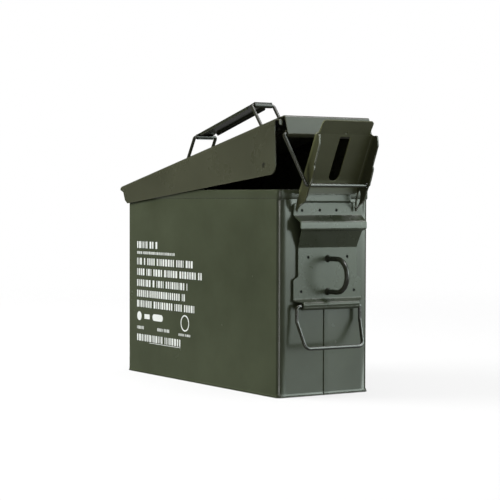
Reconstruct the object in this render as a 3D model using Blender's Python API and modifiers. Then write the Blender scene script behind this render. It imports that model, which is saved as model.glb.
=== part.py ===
"""Steel storage can with a tapered tilting lid, a toggle latch, a padlock
staple, a folding top handle and a carrying bail on the latch end.

Frame: metres, +Z up.  The origin is the centre of the underside, +X is the
latch end, -X the hinge end.  The lid stands ajar, as the can is modelled.
Lengths in the constants are millimetres and are scaled by MM when a mesh is
made.
"""
import bpy
import bmesh
import math
from mathutils import Matrix, Vector

MM = 0.001

# ---- driving dimensions (mm, degrees) -------------------------------------
BODY_L, BODY_W, BODY_H = 256.6, 91.6, 171.0     # outside of the wrapped body
WALL = 1.0                                      # sheet thickness
CORNER_R = 3.5                                  # vertical corner radius
BAND_Z, BAND_OUT = 163.7, 0.5                   # proud band round the mouth
LID_L_REAR, LID_FRONT = -140.0, 139.4           # ends of the lid, lid shut
LID_TOP = 176.1                                 # top of the lid, lid shut
LID_HALF_W = 48.4                               # outside of the side skirts
AJAR = 11.6                                     # lid angle as modelled
HINGE = (-133.0, 170.0)                         # lid hinge axis, X Z
PIN_D = 3.0
WIRE = 3.0                                      # latch and carrying bail wire
PLATE_Y = 2.2                                   # latch plate centre line
PLATE_X = 130.0                                 # latch plate mid surface
PLATE_T = 1.2
STAPLE_D = 4.2
ROD = (147.8, 174.6)                            # lever pivot, lid ajar, X Z
LEVER_T = 1.2
LEVER_FLANGE_Y = 28.7
CURL_SHUT = (138.4, 161.6)                      # latch curl centre, lid shut
BAIL_AXIS = (134.2, 75.2)                       # carrying bail pivot, X Z
HANDLE_REAR = (-79.7, 178.0)                    # handle pivots, lid shut
HANDLE_FRONT = (63.2, 178.0)
BAR_REAR = (-54.0, 205.3)                       # handle cross bars, lid shut
BAR_FRONT = (45.8, 210.6)
HANDLE_HALF = 11.4                              # half spacing of the legs
HANDLE_WIRE = 3.0

# ---- scene ------------------------------------------------------------------
for old in list(bpy.data.objects):
    bpy.data.objects.remove(old, do_unlink=True)

parts = bpy.data.collections.new("steel_storage_can")
tools = bpy.data.collections.new("cutters")
bpy.context.scene.collection.children.link(parts)
bpy.context.scene.collection.children.link(tools)


def material(name, rgb, rough=0.55, metal=0.0):
    m = bpy.data.materials.new(name)
    m.use_nodes = True
    b = m.node_tree.nodes["Principled BSDF"]
    b.inputs["Base Color"].default_value = (rgb[0], rgb[1], rgb[2], 1)
    b.inputs["Roughness"].default_value = rough
    b.inputs["Metallic"].default_value = metal
    return m


OLIVE = (0.060, 0.066, 0.043)
OLIVE_LIGHT = (0.075, 0.082, 0.054)
RUBBER = (0.012, 0.012, 0.012)


def finish_object(name, me, origin, mat, parent=None):
    """Make a node from a mesh whose vertices are in millimetres."""
    me.transform(Matrix.Translation((-origin[0], -origin[1], -origin[2])))
    me.transform(Matrix.Scale(MM, 4))
    ob = bpy.data.objects.new(name, me)
    ob.location = Vector(origin) * MM
    if parent is not None:
        ob.parent = parent
        ob.location = (Vector(origin) - Vector((HINGE[0], 0, HINGE[1]))) * MM
    me.materials.append(mat)
    parts.objects.link(ob)
    return ob


def solidify(ob, t, offset=0.0):
    mod = ob.modifiers.new("Solidify", "SOLIDIFY")
    mod.thickness = t * MM
    mod.offset = offset
    mod.use_even_offset = True
    return mod


def arc(cx, cz, r, a0, a1, n):
    """Points on an arc in the XZ plane, angles in degrees."""
    return [(cx + r * math.cos(math.radians(a0 + (a1 - a0) * i / n)),
             cz + r * math.sin(math.radians(a0 + (a1 - a0) * i / n)))
            for i in range(n + 1)]


def strip_mesh(name, line, y0, y1):
    """A polyline in XZ drawn out along Y, as an open sheet."""
    me = bpy.data.meshes.new(name)
    bm = bmesh.new()
    vs = [bm.verts.new((x, y0, z)) for x, z in line]
    es = [bm.edges.new((a, b)) for a, b in zip(vs, vs[1:])]
    out = bmesh.ops.extrude_edge_only(bm, edges=es)
    moved = [g for g in out["geom"] if isinstance(g, bmesh.types.BMVert)]
    bmesh.ops.translate(bm, verts=moved, vec=(0, y1 - y0, 0))
    bmesh.ops.recalc_face_normals(bm, faces=bm.faces)
    bm.to_mesh(me)
    bm.free()
    return me


def prism_mesh(name, outline, y0, y1):
    """A closed outline in XZ drawn out along Y, as a solid."""
    me = bpy.data.meshes.new(name)
    bm = bmesh.new()
    vs = [bm.verts.new((x, y0, z)) for x, z in outline]
    face = bm.faces.new(vs)
    out = bmesh.ops.extrude_face_region(bm, geom=[face])
    moved = [g for g in out["geom"] if isinstance(g, bmesh.types.BMVert)]
    bmesh.ops.translate(bm, verts=moved, vec=(0, y1 - y0, 0))
    bmesh.ops.recalc_face_normals(bm, faces=bm.faces)
    bm.to_mesh(me)
    bm.free()
    return me


def cutter(name, me, parent=None):
    me.transform(Matrix.Scale(MM, 4))
    ob = bpy.data.objects.new(name, me)
    if parent is not None:
        ob.parent = parent
        ob.location = -Vector((HINGE[0], 0, HINGE[1])) * MM
    ob.hide_render = True
    ob.display_type = "WIRE"
    tools.objects.link(ob)
    return ob


def box_cutter(name, lo, hi, parent=None):
    me = bpy.data.meshes.new(name)
    bm = bmesh.new()
    bmesh.ops.create_cube(bm, size=1.0)
    for v in bm.verts:
        v.co = Vector(((lo[k] + hi[k]) / 2 + v.co[k] * (hi[k] - lo[k])
                       for k in range(3)))
    bm.to_mesh(me)
    bm.free()
    return cutter(name, me, parent)


def rod_mesh(name, x, z, y0, y1, r, n=16):
    """A round bar along Y."""
    me = bpy.data.meshes.new(name)
    bm = bmesh.new()
    bmesh.ops.create_cone(bm, cap_ends=True, cap_tris=False, segments=n,
                          radius1=r, radius2=r, depth=y1 - y0,
                          matrix=Matrix.Translation((x, (y0 + y1) / 2, z))
                          @ Matrix.Rotation(math.radians(90), 4, "X"))
    bmesh.ops.recalc_face_normals(bm, faces=bm.faces)
    bm.to_mesh(me)
    bm.free()
    return me


def boolean(ob, other, op="DIFFERENCE"):
    mod = ob.modifiers.new(op.title(), "BOOLEAN")
    mod.operation = op
    mod.object = other
    mod.solver = "EXACT"
    return mod


def rounded_rect(hx, hy, r, z, n=4):
    pts = []
    for sx, sy, a0 in ((1, 1, 0), (-1, 1, 90), (-1, -1, 180), (1, -1, 270)):
        cx, cy = sx * (hx - r), sy * (hy - r)
        for i in range(n + 1):
            a = math.radians(a0 + 90 * i / n)
            pts.append((cx + r * math.cos(a), cy + r * math.sin(a), z))
    return pts


def ring_sheet(name, rings, close_bottom=False):
    """Outlines with the same number of points bridged into an open sheet."""
    me = bpy.data.meshes.new(name)
    bm = bmesh.new()
    loops = []
    for ring in rings:
        vs = [bm.verts.new(p) for p in ring]
        es = [bm.edges.new((vs[i], vs[(i + 1) % len(vs)]))
              for i in range(len(vs))]
        loops.append((vs, es))
    for (va, ea), (vb, eb) in zip(loops, loops[1:]):
        bmesh.ops.bridge_loops(bm, edges=ea + eb)
    if close_bottom:
        bm.faces.new(loops[0][0])
    bmesh.ops.recalc_face_normals(bm, faces=bm.faces)
    bm.to_mesh(me)
    bm.free()
    return me


def fillet(points, radii, n=5, closed=False):
    """Round the corners of a 3-D path; points in mm."""
    P = [Vector(p) for p in points]
    out = []
    m = len(P)
    for i, p in enumerate(P):
        r = radii[i]
        if r == 0 or (not closed and i in (0, m - 1)):
            out.append(p)
            continue
        a, b = (P[i - 1] - p).normalized(), (P[(i + 1) % m] - p).normalized()
        ang = a.angle(b)
        d = r / math.tan(ang / 2)
        c = p + (a + b).normalized() * (r / math.sin(ang / 2))
        s, e = p + a * d - c, p + b * d - c
        sweep = s.angle(e)
        ax = s.cross(e).normalized()
        for k in range(n + 1):
            out.append(c + Matrix.Rotation(sweep * k / n, 3, ax) @ s)
    return out


def wire(name, pts, dia, origin, mat, closed=False, parent=None, res=2):
    """A wire as a poly curve with a round bevel, turned into a mesh."""
    cu = bpy.data.curves.new(name, "CURVE")
    cu.dimensions = "3D"
    cu.bevel_depth = dia / 2
    cu.bevel_resolution = res
    cu.use_fill_caps = True
    sp = cu.splines.new("POLY")
    sp.points.add(len(pts) - 1)
    for q, p in zip(sp.points, pts):
        q.co = (p[0], p[1], p[2], 1)
    sp.use_cyclic_u = closed
    tmp = bpy.data.objects.new(name + "_path", cu)
    tools.objects.link(tmp)
    bpy.context.view_layer.update()
    dg = bpy.context.evaluated_depsgraph_get()
    me = bpy.data.meshes.new_from_object(tmp.evaluated_get(dg))
    me.name = name
    bpy.data.objects.remove(tmp, do_unlink=True)
    bm = bmesh.new()
    bm.from_mesh(me)
    bmesh.ops.remove_doubles(bm, verts=bm.verts, dist=0.01)
    bmesh.ops.recalc_face_normals(bm, faces=bm.faces)
    bm.to_mesh(me)
    bm.free()
    me.materials.clear()
    return finish_object(name, me, origin, mat, parent)


def turn(p, centre, deg):
    """Turn an X Z point about a centre; positive lifts the +X side."""
    c, s = math.cos(math.radians(deg)), math.sin(math.radians(deg))
    dx, dz = p[0] - centre[0], p[1] - centre[1]
    return (centre[0] + dx * c - dz * s, centre[1] + dx * s + dz * c)


HX, HY = BODY_L / 2, BODY_W / 2

# ---- body -------------------------------------------------------------------
rings = [rounded_rect(HX, HY, CORNER_R, 1.3),
         rounded_rect(HX, HY, CORNER_R, BAND_Z - 0.4),
         rounded_rect(HX + BAND_OUT, HY + BAND_OUT, CORNER_R + BAND_OUT, BAND_Z + 0.4),
         rounded_rect(HX + BAND_OUT, HY + BAND_OUT, CORNER_R + BAND_OUT, BODY_H)]
shell = finish_object("body_shell", ring_sheet("body_shell", rings), (0, 0, 0),
                      material("body_paint", OLIVE))
solidify(shell, WALL, -1)

pan = finish_object(
    "bottom_pan",
    ring_sheet("bottom_pan", [rounded_rect(HX + 0.6, HY + 0.6, CORNER_R + 0.6, 0.0)], True),
    (0, 0, 0), material("pan_paint", OLIVE))
solidify(pan, WALL, 1)
upstand = cutter("pan_upstand", ring_sheet("pan_upstand", [
    rounded_rect(HX - WALL - 0.8, HY - WALL - 0.8, CORNER_R - 1.6, 0.5),
    rounded_rect(HX - WALL - 0.8, HY - WALL - 0.8, CORNER_R - 1.6, 7.0)]))
solidify(upstand, WALL, 0)
boolean(pan, upstand, "UNION")

# ---- latch plate on the latch end -------------------------------------------
bx, bz = BAIL_AXIS
plate_line = ([(PLATE_X + 0.9, 167.6), (PLATE_X + 0.9, 161.6), (PLATE_X, 160.4),
               (PLATE_X, 150.2), (PLATE_X + 1.2, 148.7), (137.2, 145.3),
               (138.6, 144.0), (139.2, 142.2), (139.1, 140.0), (138.2, 138.2),
               (136.6, 137.2), (PLATE_X + 0.8, 124.4), (PLATE_X, 122.4),
               (PLATE_X, 80.2)]
              + arc(bx, bz, 2.5, 150, -150, 10))
plate = finish_object("latch_plate",
                      strip_mesh("latch_plate", plate_line, PLATE_Y - 34.4, PLATE_Y + 34.4),
                      (PLATE_X, PLATE_Y, 120.0), material("latch_plate_paint", OLIVE_LIGHT))
solidify(plate, PLATE_T, 0)
for k, s in (("left", -1), ("right", 1)):
    for tag, ya, za, zb in (("tongue", 23.0, 160.7, 175.0), ("nose", 33.3, 136.0, 150.5),
                            ("waist", 29.7, 98.8, 136.6),
                            ("roll", 28.5, 60.0, 79.2)):
        ys = sorted((PLATE_Y + s * ya, PLATE_Y + s * 50))
        boolean(plate, box_cutter("plate_%s_%s" % (tag, k), (120, ys[0], za), (150, ys[1], zb)))

staple_pts = ([(PLATE_X + 0.95, PLATE_Y, 113.9)]
              + [(x, PLATE_Y, z) for x, z in arc(144.0, 100.2, 13.7, 90, -90, 12)]
              + [(PLATE_X + 0.95, PLATE_Y, 86.5)])
wire("padlock_staple", staple_pts, STAPLE_D, (PLATE_X + 0.95, PLATE_Y, 100.2),
     material("staple_paint", OLIVE))

# ---- carrying bail on the latch end -----------------------------------------
bc, b1, b2 = 0.8, 32.0, 28.9
loop = [(bx, bc - b1, bz), (bx, bc - b1, 62.5), (143.0, bc - b2, 41.0),
        (143.0, bc + b2, 41.0), (bx, bc + b1, 62.5), (bx, bc + b1, bz)]
wire("carrying_bail", fillet(loop, [2.6, 6, 5, 5, 6, 2.6], 4, True), WIRE,
     (bx, bc, bz), material("carrying_bail_paint", OLIVE), closed=True)

# ---- hinge ------------------------------------------------------------------
hx, hz = HINGE
KN = 2.3                                        # knuckle mid radius
body_leaf_line = [(-129.7, 150.0), (-129.7, 167.4)] + arc(hx, hz, KN, 0, 290, 12)
body_leaf = finish_object("body_hinge_leaf",
                          strip_mesh("body_hinge_leaf", body_leaf_line, -38, 38),
                          (hx, 0, hz), material("body_leaf_paint", OLIVE))
solidify(body_leaf, 1.0, 0)
for k, (ya, yb) in enumerate(((-22.3, -7.7), (7.7, 22.3))):
    boolean(body_leaf, box_cutter("body_leaf_gap_%d" % k, (-140, ya, 164.5), (-128, yb, 180)))
finish_object("hinge_pin", rod_mesh("hinge_pin", hx, hz, -39.5, 39.5, PIN_D / 2),
              (hx, 0, hz), material("hinge_pin_steel", (0.16, 0.16, 0.14), 0.4, 0.8))

# ---- lid, drawn shut and carried by an empty on the hinge axis ---------------
lid = bpy.data.objects.new("lid_frame", None)
lid.location = (hx * MM, 0, hz * MM)
lid.rotation_euler = (0, math.radians(-AJAR), 0)
parts.objects.link(lid)

TOP_MID = LID_TOP - WALL / 2
SKIRT_Y = LID_HALF_W - WALL / 2
FLANGE_HALF = 42.6
cx, cz = CURL_SHUT
curl_r = 2.4


def lid_mesh():
    me = bpy.data.meshes.new("lid_shell")
    bm = bmesh.new()
    # sections across: skirt, bend, top, bend, skirt
    R = 3.0
    half = [(SKIRT_Y, 126.0), (SKIRT_Y, TOP_MID - R)]
    half += [(SKIRT_Y - R + R * math.cos(math.radians(a)),
              TOP_MID - R + R * math.sin(math.radians(a))) for a in (30, 60, 90)]
    sec = [(-y, z) for y, z in half] + [(-FLANGE_HALF, TOP_MID), (FLANGE_HALF, TOP_MID)] \
        + [(y, z) for y, z in reversed(half)]
    nf = len(half)
    xs = [-137.0, 132.1]
    rows = [[bm.verts.new((x, y, z)) for y, z in sec] for x in xs]
    for j in range(len(sec) - 1):
        bm.faces.new((rows[0][j], rows[0][j + 1], rows[1][j + 1], rows[1][j]))
    # rear lip and front flange, on the flat of the top only
    rear = [(-139.0, 174.7), (-139.5, 172.6), (-139.5, 169.8)]
    # a low bead, then the flange down in front of the curl that rolls under it
    front = ([(134.6, TOP_MID + 1.0), (138.0, TOP_MID + 1.0), (139.3, TOP_MID - 0.4)]
             + arc(cx, cz, curl_r, 8, -262, 9))
    for line, start in ((rear, rows[0]), (front, rows[1])):
        a, b = start[nf], start[nf + 1]
        for x, z in line:
            c = bm.verts.new((x, -FLANGE_HALF, z))
            d = bm.verts.new((x, FLANGE_HALF, z))
            bm.faces.new((a, b, d, c))
            a, b = c, d
    bmesh.ops.recalc_face_normals(bm, faces=bm.faces)
    bm.to_mesh(me)
    bm.free()
    return me


lid_shell = finish_object("lid_shell", lid_mesh(), (hx, 0, hz),
                          material("lid_paint", OLIVE_LIGHT), lid)
solidify(lid_shell, WALL, 0)
corner = arc(118.0, 140.4, 8.6, 276, 350, 6)
skirt_cut = [(-150, 190), (-139.2, 190), (-139.2, 172.4), (-133.8, 169.2), (-132.0, 161.1),
             (-128.0, 157.3)] + corner + [(131.8, 172.6), (133.2, 172.6), (133.2, 110),
                                          (-150, 110)]
for k, s in (("left", -1), ("right", 1)):
    ys = sorted((s * (LID_HALF_W - WALL - 1.5), s * (LID_HALF_W + 2)))
    boolean(lid_shell, cutter("skirt_cut_" + k, prism_mesh("skirt_cut_" + k, skirt_cut, *ys), lid))

lid_leaf_line = ([(-137.6, 174.3), (-131.5, 174.3), (-130.7, 173.5), (-130.7, 170.6)]
                 + arc(hx, hz, KN, 0, -250, 11))
lid_leaf = finish_object("lid_hinge_leaf",
                         strip_mesh("lid_hinge_leaf", lid_leaf_line, -22, 22),
                         (hx, 0, hz), material("lid_leaf_paint", OLIVE), lid)
solidify(lid_leaf, 1.0, 0)
boolean(lid_leaf, box_cutter("lid_leaf_gap", (-140, -8, 160), (-128, 8, 173.2), lid))


def frame_mesh(name, ox, oy, ro, ix0, ix1, iy, ri, z0, z1, outer_rear=None):
    """A flat picture frame of sheet rubber, drawn down from z1 to z0."""
    me = bpy.data.meshes.new(name)
    bm = bmesh.new()
    o = rounded_rect(ox, oy, ro, z0)
    if outer_rear is not None:
        o = [(max(x, outer_rear), y, z) for x, y, z in o]
    mid, hxi = (ix0 + ix1) / 2, (ix1 - ix0) / 2
    i = [(x + mid, y, z) for x, y, z in rounded_rect(hxi, iy, ri, z0)]
    loops = []
    for ring in (o, i):
        vs = [bm.verts.new(p) for p in ring]
        loops.append([bm.edges.new((vs[k], vs[(k + 1) % len(vs)])) for k in range(len(vs))])
    out = bmesh.ops.bridge_loops(bm, edges=loops[0] + loops[1])
    ext = bmesh.ops.extrude_face_region(bm, geom=list(bm.faces))
    moved = [g for g in ext["geom"] if isinstance(g, bmesh.types.BMVert)]
    bmesh.ops.translate(bm, verts=moved, vec=(0, 0, z1 - z0))
    bmesh.ops.recalc_face_normals(bm, faces=bm.faces)
    bm.to_mesh(me)
    bm.free()
    return me


finish_object("lid_gasket",
              frame_mesh("lid_gasket", 129.6, 45.9, 4.4, -123.2, 123.2, 39.6, 3.0, 171.4, 174.7),
              (0, 0, 174.7), material("gasket_rubber", RUBBER, 0.8), lid)
finish_object("gasket_retainer",
              frame_mesh("gasket_retainer", 122.8, 39.2, 3.0, -121.8, 121.8, 38.2, 2.0,
                         168.4, 174.7),
              (0, 0, 174.7), material("retainer_paint", OLIVE), lid)

# ---- latch lever and its wire bail ---------------------------------------------
C_AJAR = turn(CURL_SHUT, HINGE, AJAR)
lx, lz = ROD
lever_line = [(163.1, 227.0), (156.1, 216.3), (137.7, 179.2), (136.3, 172.6), (135.8, 167.3)]
lever = finish_object("latch_lever",
                      strip_mesh("latch_lever", lever_line, -LEVER_FLANGE_Y, LEVER_FLANGE_Y),
                      (lx, 0, lz), material("lever_paint", OLIVE))
solidify(lever, LEVER_T, 0)
flange = [(156.3, 217.0), (162.8, 215.6), (163.4, 207.2), (156.0, 190.4), (156.8, 188.6),
          (156.2, 186.2), (153.2, 178.4), (149.5, 172.6), (145.3, 164.6), (144.0, 160.9),
          (138.8, 157.2), (135.4, 154.1), (134.9, 152.8), (132.9, 152.6), (131.9, 155.0),
          (133.4, 162.6),
          (135.5, 168.0), (135.9, 172.8), (137.2, 179.4)]
for k, s in (("left", -1), ("right", 1)):
    ys = sorted((s * (LEVER_FLANGE_Y - LEVER_T / 2), s * (LEVER_FLANGE_Y + LEVER_T / 2)))
    boolean(lever, cutter("lever_flange_" + k, prism_mesh("lever_flange_" + k, flange, *ys)),
            "UNION")
    ys = sorted((s * 25.4, s * 40))
    boolean(lever, box_cutter("lever_tab_side_" + k, (150, ys[0], 217.2), (175, ys[1], 235)))
slot_mid = (147.0, 197.0)
dirx, dirz = 18.4 / 41.4, 37.1 / 41.4
slot = []
for a, r in ((slot_mid[0] + dirx * 18.6, slot_mid[1] + dirz * 18.6),
             (slot_mid[0] - dirx * 18.6, slot_mid[1] - dirz * 18.6)):
    slot.append((a - 6 * dirz, r + 6 * dirx))
    slot.append((a + 6 * dirz, r - 6 * dirx))
boolean(lever, cutter("lever_slot", prism_mesh("lever_slot", [slot[0], slot[1], slot[3], slot[2]],
                                              1.6 - 5.4, 1.6 + 5.4)))
boolean(lever, cutter("lever_rod_hole", rod_mesh("lever_rod_hole", lx, lz, -35, 35, WIRE / 2 + 0.4)))

a1, a2 = 45.3, 31.4
bail = [(C_AJAR[0], -a1, C_AJAR[1]), (C_AJAR[0], a1, C_AJAR[1]), (lx, a2, lz), (lx, -a2, lz)]
wire("latch_bail", fillet(bail, [1.9, 1.9, 2.4, 2.4], 4, True), WIRE, (lx, 0, lz),
     material("latch_bail_paint", OLIVE), closed=True)

# ---- top handle --------------------------------------------------------------
for tag, foot, bar in (("rear", HANDLE_REAR, BAR_REAR), ("front", HANDLE_FRONT, BAR_FRONT)):
    w = HANDLE_HALF
    loop = [(foot[0], -w, foot[1]), (foot[0], w, foot[1]), (bar[0], w, bar[1]), (bar[0], -w, bar[1])]
    wire("handle_loop_" + tag, fillet(loop, [2.2] * 4, 4, True), HANDLE_WIRE,
         (foot[0], 0, foot[1]), material("handle_loop_paint_" + tag, OLIVE), closed=True,
         parent=lid)
    clip = ([(foot[0] - 7.5, LID_TOP + 0.8), (foot[0] - 2.9, LID_TOP + 0.8)]
            + arc(foot[0], foot[1], 2.4, 168, 12, 8)
            + [(foot[0] + 2.9, LID_TOP + 0.8), (foot[0] + 7.5, LID_TOP + 0.8)])
    for side, s in (("left", -1), ("right", 1)):
        ys = sorted((s * 2.5, s * 8.5))
        ob = finish_object("handle_clip_%s_%s" % (tag, side),
                           strip_mesh("handle_clip", clip, *ys), (foot[0], s * 5.5, foot[1]),
                           material("clip_paint_%s_%s" % (tag, side), OLIVE), lid)
        solidify(ob, 1.0, 0)

gx0, gz0 = BAR_REAR
gx1, gz1 = BAR_FRONT
slope = math.degrees(math.atan2(gz1 - gz0, gx1 - gx0))
glen = math.hypot(gx1 - gx0, gz1 - gz0)
LIFT = 2.5                                      # top sheet above the bars
# drawn level with the rear bar at the origin, then tilted into place
grip_line = (arc(0, 0, 2.3, 262, 158, 4) + [(-2.3, LIFT - 1.2), (-1.2, LIFT)]
             + [(glen + 1.2, LIFT), (glen + 2.3, LIFT - 1.2)]
             + arc(glen, 0, 2.3, 22, -82, 4))
gm = strip_mesh("handle_grip", grip_line, -9.4, 9.4)
gm.transform(Matrix.Rotation(math.radians(-slope), 4, "Y"))
gm.transform(Matrix.Translation((gx0, 0, gz0)))
grip = finish_object("handle_grip", gm, ((gx0 + gx1) / 2, 0, (gz0 + gz1) / 2),
                     material("grip_paint", OLIVE_LIGHT), lid)
solidify(grip, 1.0, 0)
for k, s in (("left", -1), ("right", 1)):
    rail = prism_mesh("grip_rail_" + k, [(5.2, LIFT + 0.2), (7.2, LIFT - 2.9),
                                         (glen - 10.4, LIFT - 2.9), (glen - 8.4, LIFT + 0.2)],
                      *sorted((s * 8.5, s * 9.4)))
    rail.transform(Matrix.Rotation(math.radians(-slope), 4, "Y"))
    rail.transform(Matrix.Translation((gx0, 0, gz0)))
    boolean(grip, cutter("grip_rail_" + k, rail, lid), "UNION")

for ob in parts.objects:
    if ob.type == "MESH":
        ob.data.shade_smooth()
        ob.data.set_sharp_from_angle(angle=math.radians(35))
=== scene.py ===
"""Looks for the sheet-steel storage can: finer sheet-metal pieces, wires and
painted-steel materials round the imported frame, with a plain studio."""
import math
import random

import bmesh  # noqa: E402
import bpy  # noqa: E402
from mathutils import Matrix, Vector  # noqa: E402


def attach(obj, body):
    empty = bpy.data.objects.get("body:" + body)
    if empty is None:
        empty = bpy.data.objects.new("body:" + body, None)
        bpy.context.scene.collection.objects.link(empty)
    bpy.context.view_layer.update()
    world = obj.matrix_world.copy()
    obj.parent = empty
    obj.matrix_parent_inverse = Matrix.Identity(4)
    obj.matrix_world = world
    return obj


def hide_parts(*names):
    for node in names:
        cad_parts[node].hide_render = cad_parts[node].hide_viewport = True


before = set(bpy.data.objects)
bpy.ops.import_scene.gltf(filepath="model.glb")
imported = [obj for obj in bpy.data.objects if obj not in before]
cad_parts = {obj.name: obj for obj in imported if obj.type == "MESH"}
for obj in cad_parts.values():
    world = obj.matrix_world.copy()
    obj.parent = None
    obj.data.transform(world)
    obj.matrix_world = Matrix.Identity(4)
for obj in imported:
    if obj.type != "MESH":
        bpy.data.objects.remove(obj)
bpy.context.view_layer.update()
MM = 0.001

# ---- sizes shared with the CAD model (mm, degrees) ---------------------------
HX, HY, BODY_H = 128.3, 45.8, 171.0
CORNER_R, BAND_Z, BAND_OUT, WALL = 3.5, 163.7, 0.5, 1.0
LID_TOP, LID_HALF_W, AJAR = 176.1, 48.39, 11.6
HINGE = (-133.0, 170.0)
PLATE_Y, PLATE_X, PLATE_T = 2.2, 130.0, 1.2
ROD = (147.8, 174.6)
LEVER_Y, LEVER_T = 28.7, 1.2
CURL = (138.4, 161.6)
BAIL_AXIS = (134.2, 75.2)
WIRE, STAPLE_D = 3.0, 4.2
HANDLE_REAR, HANDLE_FRONT = (-79.7, 178.0), (63.2, 178.0)
BAR_REAR, BAR_FRONT = (-54.0, 205.3), (45.8, 210.0)
HANDLE_HALF, HANDLE_WIRE, LIFT = 11.4, 3.0, 2.1


# ---- geometry helpers --------------------------------------------------------
def turn(p, c, deg):
    """Turn an X Z point about a centre; positive lifts the +X side."""
    k, s = math.cos(math.radians(deg)), math.sin(math.radians(deg))
    dx, dz = p[0] - c[0], p[1] - c[1]
    return (c[0] + dx * k - dz * s, c[1] + dx * s + dz * k)


def ajar(x, y, z):
    """A point drawn with the lid shut, moved to the lid as it stands ajar."""
    a, b = turn((x, z), HINGE, AJAR)
    return (a, y, b)


def arc(cx, cz, r, a0, a1, n):
    return [(cx + r * math.cos(math.radians(a0 + (a1 - a0) * i / n)),
             cz + r * math.sin(math.radians(a0 + (a1 - a0) * i / n))) for i in range(n + 1)]


def fillet(points, radii, n=6, closed=False):
    """Round the corners of a path of 3-D points."""
    P = [Vector(p) for p in points]
    out, m = [], len(P)
    for i, p in enumerate(P):
        r = radii[i]
        if r == 0 or (not closed and i in (0, m - 1)):
            out.append(p)
            continue
        a, b = (P[i - 1] - p).normalized(), (P[(i + 1) % m] - p).normalized()
        ang = a.angle(b)
        if ang > math.pi - 1e-4:
            out.append(p)
            continue
        d = r / math.tan(ang / 2)
        c = p + (a + b).normalized() * (r / math.sin(ang / 2))
        s, e = p + a * d - c, p + b * d - c
        sweep, ax = s.angle(e), s.cross(e).normalized()
        for k in range(n + 1):
            out.append(c + Matrix.Rotation(sweep * k / n, 3, ax) @ s)
    return out


def fillet2(points, radii, n=6, closed=False):
    return [(p.x, p.y) for p in fillet([(a, b, 0) for a, b in points], radii, n, closed)]


class Path:
    """A line in X Z that a flat pattern is wrapped along; s is its length."""

    def __init__(self, pts, s0=0.0):
        self.p = [pts[0]]
        for q in pts[1:]:
            if math.dist(q, self.p[-1]) > 1e-5:
                self.p.append(q)
        self.s = [s0]
        for a, b in zip(self.p, self.p[1:]):
            self.s.append(self.s[-1] + math.dist(a, b))

    def shift(self, ds):
        self.s = [v + ds for v in self.s]
        return self

    def at(self, s):
        i = 0
        while i < len(self.s) - 2 and s > self.s[i + 1]:
            i += 1
        (ax, az), (bx, bz) = self.p[i], self.p[i + 1]
        k = (s - self.s[i]) / (self.s[i + 1] - self.s[i])
        d = math.dist(self.p[i], self.p[i + 1])
        t = ((bx - ax) / d, (bz - az) / d)
        return (ax + (bx - ax) * k, az + (bz - az) * k), t

    def s_of(self, test):
        """First length at which test(x, z) turns true."""
        n = 4000
        for i in range(n + 1):
            s = self.s[0] + (self.s[-1] - self.s[0]) * i / n
            if test(*self.at(s)[0]):
                return s
        return self.s[-1]


def circle2(u, v, r, n=16):
    return [(u + r * math.cos(2 * math.pi * i / n), v + r * math.sin(2 * math.pi * i / n))
            for i in range(n)]


def pattern(outline, holes=(), cuts_u=(), cuts_v=(), dimples=()):
    """A flat sheet-metal pattern as a bmesh, cut along its bend lines.
    A dimple is (u, v, radius, depth)."""
    bm = bmesh.new()
    loops = [outline] + list(holes)
    rims = []
    for u, v, r, depth in dimples:
        rim = circle2(u, v, r, 24)
        rims.append(rim)
        loops.append(rim)
    for loop in loops:
        vs = [bm.verts.new((a, b, 0)) for a, b in loop]
        for i, x in enumerate(vs):
            bm.edges.new((x, vs[(i + 1) % len(vs)]))
    bmesh.ops.triangle_fill(bm, use_beauty=True, use_dissolve=False, edges=bm.edges[:])
    for (u, v, r, depth), rim in zip(dimples, rims):
        n, last = len(rim), None
        for k in range(6, 0, -1):
            q = k / 6
            h = depth * (1 - q ** 4) if k < 6 else 0.0
            ring = [bm.verts.new((u + r * q * math.cos(2 * math.pi * i / n),
                                  v + r * q * math.sin(2 * math.pi * i / n), h))
                    for i in range(n)]
            if last:
                for i in range(n):
                    bm.faces.new((last[i], last[(i + 1) % n], ring[(i + 1) % n], ring[i]))
            last = ring
        tip = bm.verts.new((u, v, depth))
        for i in range(n):
            bm.faces.new((last[i], last[(i + 1) % n], tip))
    bmesh.ops.remove_doubles(bm, verts=bm.verts[:], dist=0.002)
    for cuts, no in ((cuts_u, (1, 0, 0)), (cuts_v, (0, 1, 0))):
        for c in cuts:
            co = (c, 0, 0) if no[0] else (0, c, 0)
            bmesh.ops.bisect_plane(bm, geom=bm.verts[:] + bm.edges[:] + bm.faces[:], dist=0.002,
                                   plane_co=co, plane_no=no)
    bmesh.ops.recalc_face_normals(bm, faces=bm.faces[:])
    return bm


def mapped(name, bm, fn, inside=None):
    """Wrap a pattern with fn(u, v, w) -> x, y, z in mm. inside is not used."""
    for v in bm.verts:
        v.co = Vector(fn(*v.co)) * MM
    me = bpy.data.meshes.new(name)
    bm.normal_update()
    bm.to_mesh(me)
    bm.free()
    return me


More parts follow.
